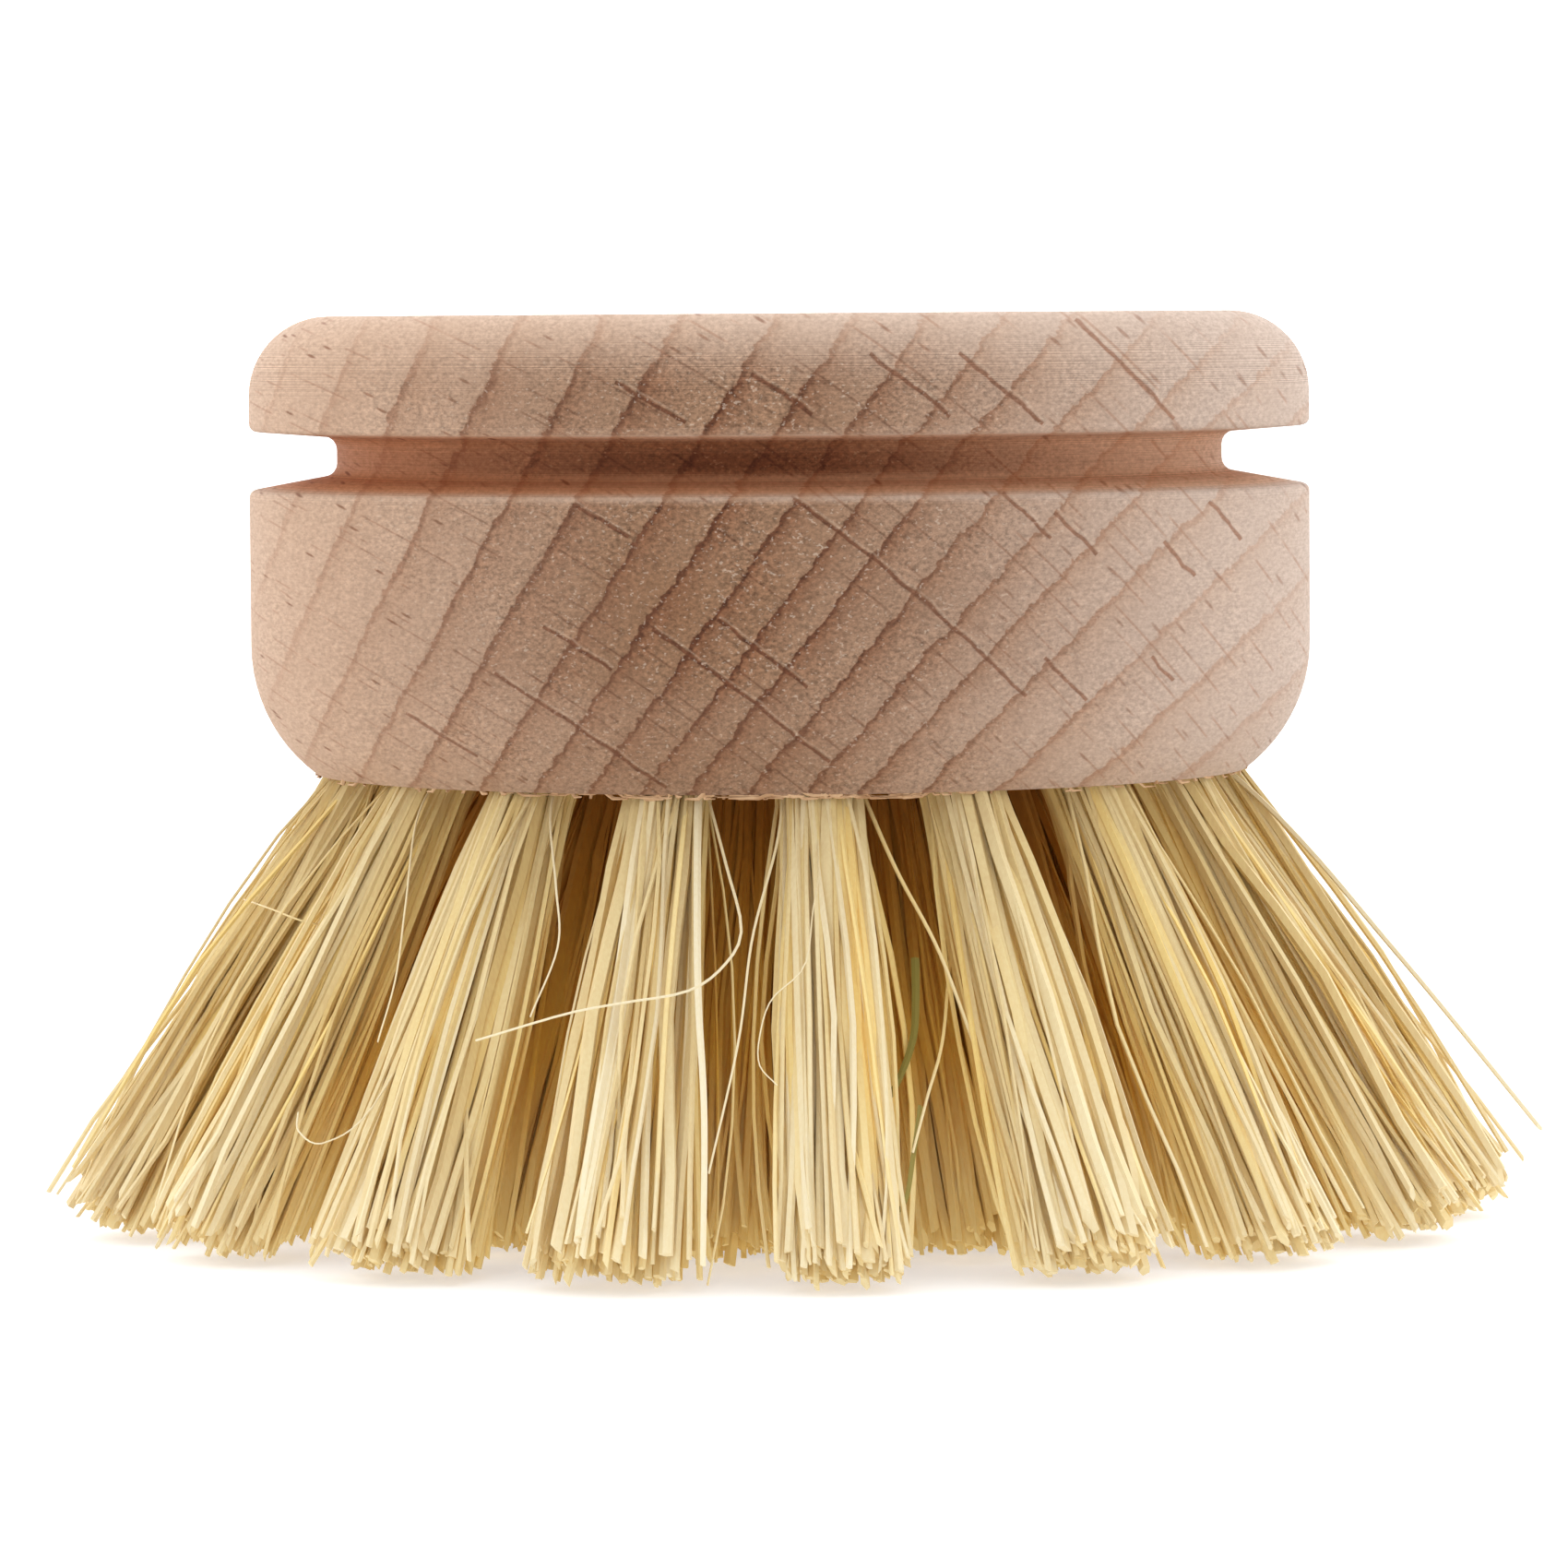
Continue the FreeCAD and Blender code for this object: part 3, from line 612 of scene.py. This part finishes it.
# The fan of tufts: how its outside widens downwards, and how far in from there the painted shade is as brown
# as it gets
RIM_SLOPE = 0.64
SHADE_FULL_DEPTH = 5.0 * MM

# How far the tips of the tufts in front lean along X, in millimetres, by the number in the outer ring, and
# the spread of the others
TIP_DRIFT = {1: 0.5, 18: 0.2, 17: -0.3, 16: 0.5, 15: -0.2, 14: 0.4, 13: 0.9, 12: 0.2, 11: -0.2, 10: 0.3}
LOOSE_DRIFT = 0.5

# How wide the tufts in front spread, as a share of the solid's tip, and the range for the others
TIP_FLARE = {1: 0.9, 18: 0.95, 17: 1.0, 16: 0.98, 15: 0.78, 14: 1.08, 13: 1.1, 12: 1.0, 11: 0.9, 10: 0.85}
LOOSE_FLARE = (0.9, 1.1)

# How much paler the fibres of the tufts in front are, and the spread of the others
TUFT_TONE = {18: -0.02, 17: 0.05, 16: 0.12, 15: 0.12, 14: 0.12, 13: 0.06, 12: -0.06, 11: -0.1, 10: -0.1}
LOOSE_TONE = 0.06


def disc_points(count):
    """Random points spread evenly over a unit disc."""
    angle = rng.uniform(0, 2 * math.pi, count)
    distance = np.sqrt(rng.uniform(0, 1, count))
    return np.stack([distance * np.cos(angle), distance * np.sin(angle)], axis=1)


def fibre_paths(tuft, thickness, drift, flare):
    """Lines of a tuft's fibres from its hole to the tips, the thinnest ones wild, and how far in each is."""
    count = len(thickness)
    spot = disc_points(count)
    inside = 1 - (spot**2).sum(axis=1)
    root = spot * HOLE_RADIUS * ROOT_FILL
    clump_shift = rng.normal(0, CLUMP_SHIFT, (CLUMPS_PER_TUFT, 2))
    clump = rng.integers(0, CLUMPS_PER_TUFT, count)
    wild = (thickness < np.quantile(thickness, WILD_SHARE))[:, None]
    tip = spot * TIP_RADIUS * flare + clump_shift[clump] + drift
    tip = tip + rng.normal(0, TIP_SCATTER, (count, 2)) + wild * rng.normal(0, WILD_SCATTER, (count, 2))
    bow = rng.normal(0, BOW, (count, 2)) + wild * rng.normal(0, WILD_BOW, (count, 2))
    wave = rng.normal(0, WAVE, (count, 2))
    longer = EXTRA_LENGTH - OUTER_SHORTENING * spot[:, 0]
    length = tuft.length + longer + rng.normal(0, LENGTH_SPREAD, count)
    share = np.linspace(0, 1, FIBRE_STATIONS)
    reach = -ROOT_DEPTH + share[None, :] * (length + ROOT_DEPTH)[:, None]
    spread = np.clip(reach / length[:, None], 0, None)
    offset = root[:, None, :] + (tip - root)[:, None, :] * spread[..., None] ** FLARE_POWER
    offset = offset + bow[:, None, :] * (4 * spread * (1 - spread))[..., None]
    offset = offset + wave[:, None, :] * np.sin(3 * math.pi * spread)[..., None]
    paths = tuft.mouth + reach[..., None] * tuft.along
    paths = paths + offset[..., :1] * tuft.outer + offset[..., 1:] * tuft.side
    return trim_level(paths), inside


def trim_level(paths):
    """Shortens fibres that would reach through the plane that the brush stands on."""
    floor = rng.triangular(*CUT_HEIGHTS, len(paths))
    root_height = paths[:, 0, 2]
    tip_height = paths[:, -1, 2]
    keep = np.clip((root_height - floor) / (root_height - tip_height), 0, 1)
    last = len(paths[0]) - 1
    place = np.arange(last + 1)[None, :] * keep[:, None]
    below = np.minimum(place.astype(int), last - 1)
    part = (place - below)[..., None]
    rows = np.arange(len(paths))[:, None]
    return paths[rows, below] * (1 - part) + paths[rows, below + 1] * part


def tube_points(paths, thickness, tip_share):
    """Rings of points around the paths: flat, broad side more or less outwards, tapering, cut at a slant."""
    count, stations, _ = paths.shape
    forward = np.gradient(paths, axis=1)
    forward /= np.linalg.norm(forward, axis=2, keepdims=True)
    outward = paths * (1, 1, 0) + (0, 1e-6, 0)
    aside = np.cross(forward, outward)
    aside /= np.linalg.norm(aside, axis=2, keepdims=True)
    upward = np.cross(forward, aside)
    twist = rng.normal(0, TWIST_SPREAD, (count, 1, 1))
    broad = np.cos(twist) * aside + np.sin(twist) * upward
    narrow = np.cos(twist) * upward - np.sin(twist) * aside
    corner = np.linspace(0, 2 * math.pi, FIBRE_SIDES, endpoint=False)
    turn = corner[None, :] + rng.uniform(0, TURN_RANGE, (count, 1))
    flat = rng.uniform(*FLATNESS, (count, 1))
    size = thickness[:, None] / 2 * np.linspace(1.0, tip_share, stations)[None, :]
    ring = np.cos(turn)[:, None, :, None] * broad[:, :, None, :]
    ring = ring + (np.sin(turn) * flat)[:, None, :, None] * narrow[:, :, None, :]
    points = paths[:, :, None, :] + ring * size[:, :, None, None]
    slant = np.abs(rng.normal(0, CUT_SLANT, (count, 1))) * size[:, -1:]
    points[:, -1] -= ((1 + np.cos(turn)) * slant)[..., None] * forward[:, -1, None, :]
    return points


def tube_faces(count, stations):
    """Corner numbers of the tubes' walls and of the caps on their tips."""
    base = (np.arange(count) * stations * FIBRE_SIDES)[:, None, None]
    level = (np.arange(stations - 1) * FIBRE_SIDES)[None, :, None]
    here = np.arange(FIBRE_SIDES)[None, None, :]
    there = (here + 1) % FIBRE_SIDES
    low = base + level
    high = low + FIBRE_SIDES
    walls = np.stack([low + here, low + there, high + there, high + here], axis=-1)
    caps = base[:, 0] + (stations - 1) * FIBRE_SIDES + np.arange(FIBRE_SIDES)[None, :]
    return walls.reshape(-1, 4), caps


def tube_map(mesh, count, stations):
    """A map for baking: each fibre has its own strip, its wall unrolled and its cap beside the wall's end."""
    columns = 2
    rows = math.ceil(count / columns)
    wall_start = 0.005
    wall_end = 0.97
    wall_margin = 0.08
    cap_middle = 0.985
    cap_half_width = 0.01
    cap_half_height = 0.4
    number = np.arange(count)
    left = (number % columns) / columns
    low = (number // columns) / rows
    along = np.linspace(wall_start, wall_end, stations) / columns
    around = np.linspace(wall_margin, 1 - wall_margin, FIBRE_SIDES + 1) / rows
    start, end, under, over = np.broadcast_arrays(
        left[:, None, None] + along[None, :-1, None],
        left[:, None, None] + along[None, 1:, None],
        low[:, None, None] + around[None, None, :-1],
        low[:, None, None] + around[None, None, 1:],
    )
    corners = [(start, under), (start, over), (end, over), (end, under)]
    walls = np.stack([np.stack(corner, axis=-1) for corner in corners], axis=-2).reshape(-1, 2)
    turn = 2 * math.pi * np.arange(FIBRE_SIDES) / FIBRE_SIDES
    cap_u = left[:, None] + (cap_middle + cap_half_width * np.cos(turn)[None, :]) / columns
    cap_v = low[:, None] + (0.5 + cap_half_height * np.sin(turn)[None, :]) / rows
    caps = np.stack([cap_u, cap_v], axis=-1).reshape(-1, 2)
    layer = mesh.uv_layers.new(name="OFBake")
    layer.data.foreach_set("uv", np.concatenate([walls, caps]).reshape(-1).astype(np.float32))


def fan_depth_for_shade(paths):
    """How deep each point lies in the fan of tufts, from 0 on its outside to 1, for the painted shade."""
    drop = np.clip(BLOCK_FACE - paths[..., 2], 0, None)
    rim = len(RINGS) * RING_PITCH + HOLE_RADIUS + drop * RIM_SLOPE
    return np.clip((rim - np.hypot(paths[..., 0], paths[..., 1])) / SHADE_FULL_DEPTH, 0, 1)


def tube_mesh(name, paths, thickness, look, tip_share=0.9):
    """Joins the fibres along the paths into one mesh that carries each fibre's look as a colour attribute."""
    count, stations, _ = paths.shape
    points = tube_points(paths, thickness, tip_share)
    walls, caps = tube_faces(count, stations)
    mesh = bpy.data.meshes.new(name)
    mesh.from_pydata(points.reshape(-1, 3).tolist(), [], walls.tolist() + caps.tolist())
    colour = np.ones((count, stations, FIBRE_SIDES, 4))
    colour[..., 0] = look[:, None, None, 0]
    colour[..., 1] = np.linspace(0, 1, stations)[None, :, None]
    colour[..., 2] = look[:, None, None, 1]
    # The fourth channel is how deep each point lies in the painted shade
    colour[..., 3] = np.maximum(fan_depth_for_shade(paths), look[:, None, 2])[:, :, None]
    attribute = mesh.color_attributes.new("look", "FLOAT_COLOR", "POINT")
    attribute.data.foreach_set("color", colour.reshape(-1).astype(np.float32))
    tube_map(mesh, count, stations)
    return mesh


def fibre_looks(inside, tuft_tone):
    """Each fibre's straw tone, its share of green, and its golden painted shade, by how far in it is in its
    own tuft.
    """
    count = len(inside)
    tone = np.clip(rng.normal(STRAW_MIDDLE + tuft_tone, STRAW_SPREAD, count), 0, 1)
    green = (rng.uniform(0, 1, count) < GREEN_FIBRES) * GREEN_STRENGTH
    shade_depth = GOLDEN_SHADE_MOST * np.clip((inside - GOLDEN_SHADE_START) / GOLDEN_SHADE_RISE, 0, 1)
    return np.stack([tone, green, shade_depth], axis=1)


def add_piece(name, mesh, material):
    """Makes a mesh a piece of the part, which rides on its root."""
    piece = bpy.data.objects.new(name, mesh)
    bpy.context.scene.collection.objects.link(piece)
    mesh.materials.append(material)
    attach(piece, "root")
    return piece


def add_tuft(node, step, azimuth, number, material):
    """The separate fibres of one tuft, in place of its plain solid; number is its place in the outer ring."""
    tuft = Tuft(step, azimuth)
    loose = rng.normal(0, LOOSE_DRIFT * MM, 2)
    drift = tuft.drift(TIP_DRIFT[number] * MM) if number in TIP_DRIFT else loose
    flare = TIP_FLARE.get(number, rng.uniform(*LOOSE_FLARE))
    tone = TUFT_TONE.get(number, rng.normal(0, LOOSE_TONE))
    thickness = rng.lognormal(math.log(FIBRE_THICKNESS), THICKNESS_SPREAD, FIBRES_PER_TUFT)
    thickness = thickness.clip(*THICKNESS_LIMITS)
    paths, inside = fibre_paths(tuft, thickness, drift, flare)
    look = fibre_looks(inside, tone)
    name = f"fibres_{node}"
    mesh = tube_mesh(name, paths, thickness * (1 + INNER_BREADTH * inside), look)
    piece = add_piece(name, mesh, material)
    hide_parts(node)


def add_tufts(material):
    """The centre tuft and the rings of tufts around it, placed as the solids are."""
    add_tuft("centre_tuft", 0, FRONT_TURN, None, material)
    for step, (ring, count) in enumerate(RINGS, start=1):
        for number in range(1, count + 1):
            azimuth = FRONT_TURN + (number - 1) * 2 * math.pi / count
            place = number if ring == "outer" else None
            add_tuft(f"{ring}_tuft_{number:02d}", step, azimuth, place, material)


# Stray fibres: thickness in millimetres, straw tone, share of green, and points along it, with an end inside
# a tuft. A point is an azimuth in degrees, a drop below the block's face and a distance outside the fan that
# runs through the outer tufts' middles, both in millimetres
STRAY_STATIONS = 30
STRAYS = [
    (0.12, 0.9, 0.0, [
        (-101, -1, 0.4), (-98.5, 0.6, 1.0), (-96, 2.5, 1.8), (-94, 4.6, 2.6), (-95.5, 5.8, 3.2),
        (-98.5, 6.6, 3.5), (-104, 7.0, 3.5), (-109, 7.4, 3.5), (-117, 8.4, 3.5),
    ]),
    (0.10, 0.9, 0.0, [
        (-121, -1, 0.4), (-118.5, 0.8, 1.4), (-114, 3.2, 2.4), (-112, 5.2, 2.7), (-113, 7.6, 2.9),
    ]),
    (0.10, 0.8, 0.0, [
        (-141.5, -1, 0.5), (-139, 1.0, 1.4), (-132, 4.0, 2.4), (-129, 6.5, 2.7), (-128, 8.7, 2.9),
    ]),
    (0.08, 0.9, 0.0, [
        (-86, -1, 0.8), (-86, 2.3, 1.9), (-87, 4.0, 2.6), (-88, 5.8, 2.9), (-91, 6.9, 3.1),
        (-92, 8.1, 3.1), (-92, 9.1, 3.1), (-90.5, 9.8, 3.0),
    ]),
    (0.11, 0.8, 0.0, [
        (-89.5, -1, 0.5), (-90.5, 1.6, 1.3), (-93, 4.9, 2.0), (-94, 8.4, 2.2), (-96, 12.8, 2.2),
    ]),
    (0.18, 0.3, 0.0, [
        (-80.5, -1, 0.2), (-79, 0.6, 0.6), (-77, 2.8, 1.2), (-74, 5.5, 1.4), (-71, 9.2, 0.4),
    ]),
    (0.32, 1.0, 0.0, [
        (-100.5, -1, 0.4), (-100, 0.5, 1.4), (-98, 6.3, 2.4), (-96.5, 10.8, 2.8), (-96, 15.8, 2.5),
    ]),
    (0.11, 0.9, 0.0, [
        (-126, -1, 0.0), (-126, 5.0, 1.0), (-126, 10.6, 2.8), (-129, 12.1, 3.3), (-132, 11.8, 3.4),
        (-133, 11.1, 3.4),
    ]),
    (0.10, 0.4, 0.0, [(-146, 5.3, 0.3), (-148, 4.9, 2.2), (-155, 4.6, 2.5), (-166, 4.5, 2.5)]),
    (0.14, 0.6, 0.0, [
        (-67, 4.0, -0.8), (-70, 5.5, -1.0), (-74, 8.6, 0.0), (-77, 10.4, 1.0), (-79, 12.3, 1.0),
    ]),
    (0.32, 0.0, 1.0, [
        (-74.8, 5.9, -0.9), (-75.6, 7.2, -0.7), (-76.6, 8.6, -0.6), (-78.8, 10.0, -0.4), (-81, 11.0, -0.2),
    ]),
    (0.25, 0.4, 0.9, [(-77.5, 10.8, 0.5), (-79, 12.5, 0.9), (-80, 13.9, 0.8), (-81.5, 14.6, 0.3)]),
    (0.30, 0.9, 0.5, [
        (-8, -1, 0.6), (-8, 1.0, 1.8), (-8, 3.3, 2.7), (-8, 6.3, 3.5), (-8, 9.0, 4.2), (-8, 13.6, 5.25),
    ]),
]


def smooth_path(points, stations):
    """A smooth line through the points."""
    points = np.asarray(points)
    padded = np.concatenate([2 * points[:1] - points[1:2], points, 2 * points[-1:] - points[-2:-1]])
    spot = np.linspace(0, len(points) - 1, stations)
    first = np.minimum(spot.astype(int), len(points) - 2)
    t = (spot - first)[:, None]
    before, here, there, after = (padded[first + step] for step in range(4))
    cubic = 3 * (here - there) + after - before
    square = 2 * before - 5 * here + 4 * there - after
    return here + ((there - before) * t + square * t**2 + cubic * t**3) / 2


def fan_point(azimuth, drop, lift):
    """A point on the fan through the middles of the outer tufts, or outside it by lift."""
    turn = math.radians(azimuth)
    ring = len(RINGS) * RING_PITCH
    reach = ring + drop * MM * ring / FAN_HEIGHT + lift * MM
    return (reach * math.cos(turn), reach * math.sin(turn), BLOCK_FACE - drop * MM)


def add_strays(material):
    """Fibres that have sprung out of their tufts."""
    routes = [[fan_point(*spot) for spot in spots] for *_, spots in STRAYS]
    paths = np.array([smooth_path(route, STRAY_STATIONS) for route in routes])
    thickness = np.array([thick * MM for thick, *_ in STRAYS])
    look = np.array([(tone, green, 0.0) for _, tone, green, _ in STRAYS])
    mesh = tube_mesh("stray_fibres", paths, thickness, look, tip_share=0.7)
    add_piece("stray_fibres", mesh, material)


# Torn wood along the block's lower edge, where the holes were drilled
EDGE_INSET = 2.4 * MM
FRONT_SPLINTERS = 70
OTHER_SPLINTERS = 110
SPLINTERS = FRONT_SPLINTERS + OTHER_SPLINTERS
FRONT_AZIMUTH = math.radians(-88)
FRONT_SPREAD = math.radians(11)
SPLINTER_RUN = 0.4 * MM
SPLINTER_INSET = 0.3 * MM
SPLINTER_HANG = 0.16 * MM
SPLINTER_ROOT = 0.15 * MM
SPLINTER_BEND = -0.2
SPLINTER_THICKNESS = (0.12 * MM, 0.3 * MM)


def add_splinters(material):
    """Small splinters along the block's lower edge, densest in front, each with its root in the wood."""
    front = rng.normal(FRONT_AZIMUTH, FRONT_SPREAD, FRONT_SPLINTERS)
    azimuth = np.concatenate([front, rng.uniform(0, 2 * math.pi, OTHER_SPLINTERS)])
    outward = np.stack([np.cos(azimuth), np.sin(azimuth), 0 * azimuth], axis=1)
    sideways = np.stack([-np.sin(azimuth), np.cos(azimuth), 0 * azimuth], axis=1)
    edge = outward * (BLOCK_RADIUS - EDGE_INSET)
    edge[:, 2] = BLOCK_FACE
    run = rng.normal(0, SPLINTER_RUN, (SPLINTERS, 1)) * sideways
    inward = -rng.uniform(0, SPLINTER_INSET, (SPLINTERS, 1)) * outward
    hang = rng.uniform(0, SPLINTER_HANG, (SPLINTERS, 1)) * np.array([0, 0, -1])
    root = edge - run + inward + np.array([0, 0, SPLINTER_ROOT])
    middle = edge + SPLINTER_BEND * run + inward / 2 + hang
    paths = np.stack([root, middle, edge + run + hang], axis=1)
    thickness = rng.uniform(*SPLINTER_THICKNESS, SPLINTERS)
    mesh = tube_mesh("splinters", paths, thickness, np.zeros((SPLINTERS, 3)), tip_share=0.3)
    add_piece("splinters", mesh, material)


def dress_solids(beech, steel):
    """Gives the solids that stay their materials."""
    for name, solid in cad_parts.items():
        if name == "brush_block":
            solid.data.materials[0] = beech
        elif "staple" in name:
            solid.data.materials[0] = steel


# Surroundings
LIGHT_BOUNCES = 8
LIGHT_LEVEL = 1.35
LIGHT_RISE = (0.0, 0.88, 0.45)


def add_floor():
    """A wide plane for the brush to stand on."""
    half = 3.0
    mesh = bpy.data.meshes.new("floor")
    corners = [(-half, -half, 0), (half, -half, 0), (half, half, 0), (-half, half, 0)]
    mesh.from_pydata(corners, [], [(0, 1, 2, 3)])
    mesh.materials.append(floor_material())
    floor = bpy.data.objects.new("floor", mesh)
    bpy.context.scene.collection.objects.link(floor)


def add_light():
    """A white tent, brighter behind and above than in front."""
    scene = bpy.context.scene
    scene.view_settings.view_transform = "Standard"
    scene.cycles.diffuse_bounces = LIGHT_BOUNCES
    world = bpy.data.worlds.new("studio")
    world.use_nodes = True
    scene.world = world
    nodes = world.node_tree.nodes
    links = world.node_tree.links
    direction = nodes.new("ShaderNodeTexCoord")
    rise = nodes.new("ShaderNodeVectorMath")
    rise.operation = "DOT_PRODUCT"
    rise.inputs[1].default_value = LIGHT_RISE
    links.new(direction.outputs["Generated"], rise.inputs[0])
    strength = nodes.new("ShaderNodeMath")
    strength.operation = "ADD"
    strength.inputs[1].default_value = LIGHT_LEVEL
    links.new(rise.outputs["Value"], strength.inputs[0])
    background = nodes["Background"]
    background.inputs["Color"].default_value = (1, 1, 1, 1)
    links.new(strength.outputs[0], background.inputs["Strength"])


add_camera()
add_light()
add_floor()
beech = beech_material()
fibre = fibre_material()
dress_solids(beech, steel_material())
add_tufts(fibre)
add_strays(fibre)
add_splinters(torn_wood_material())
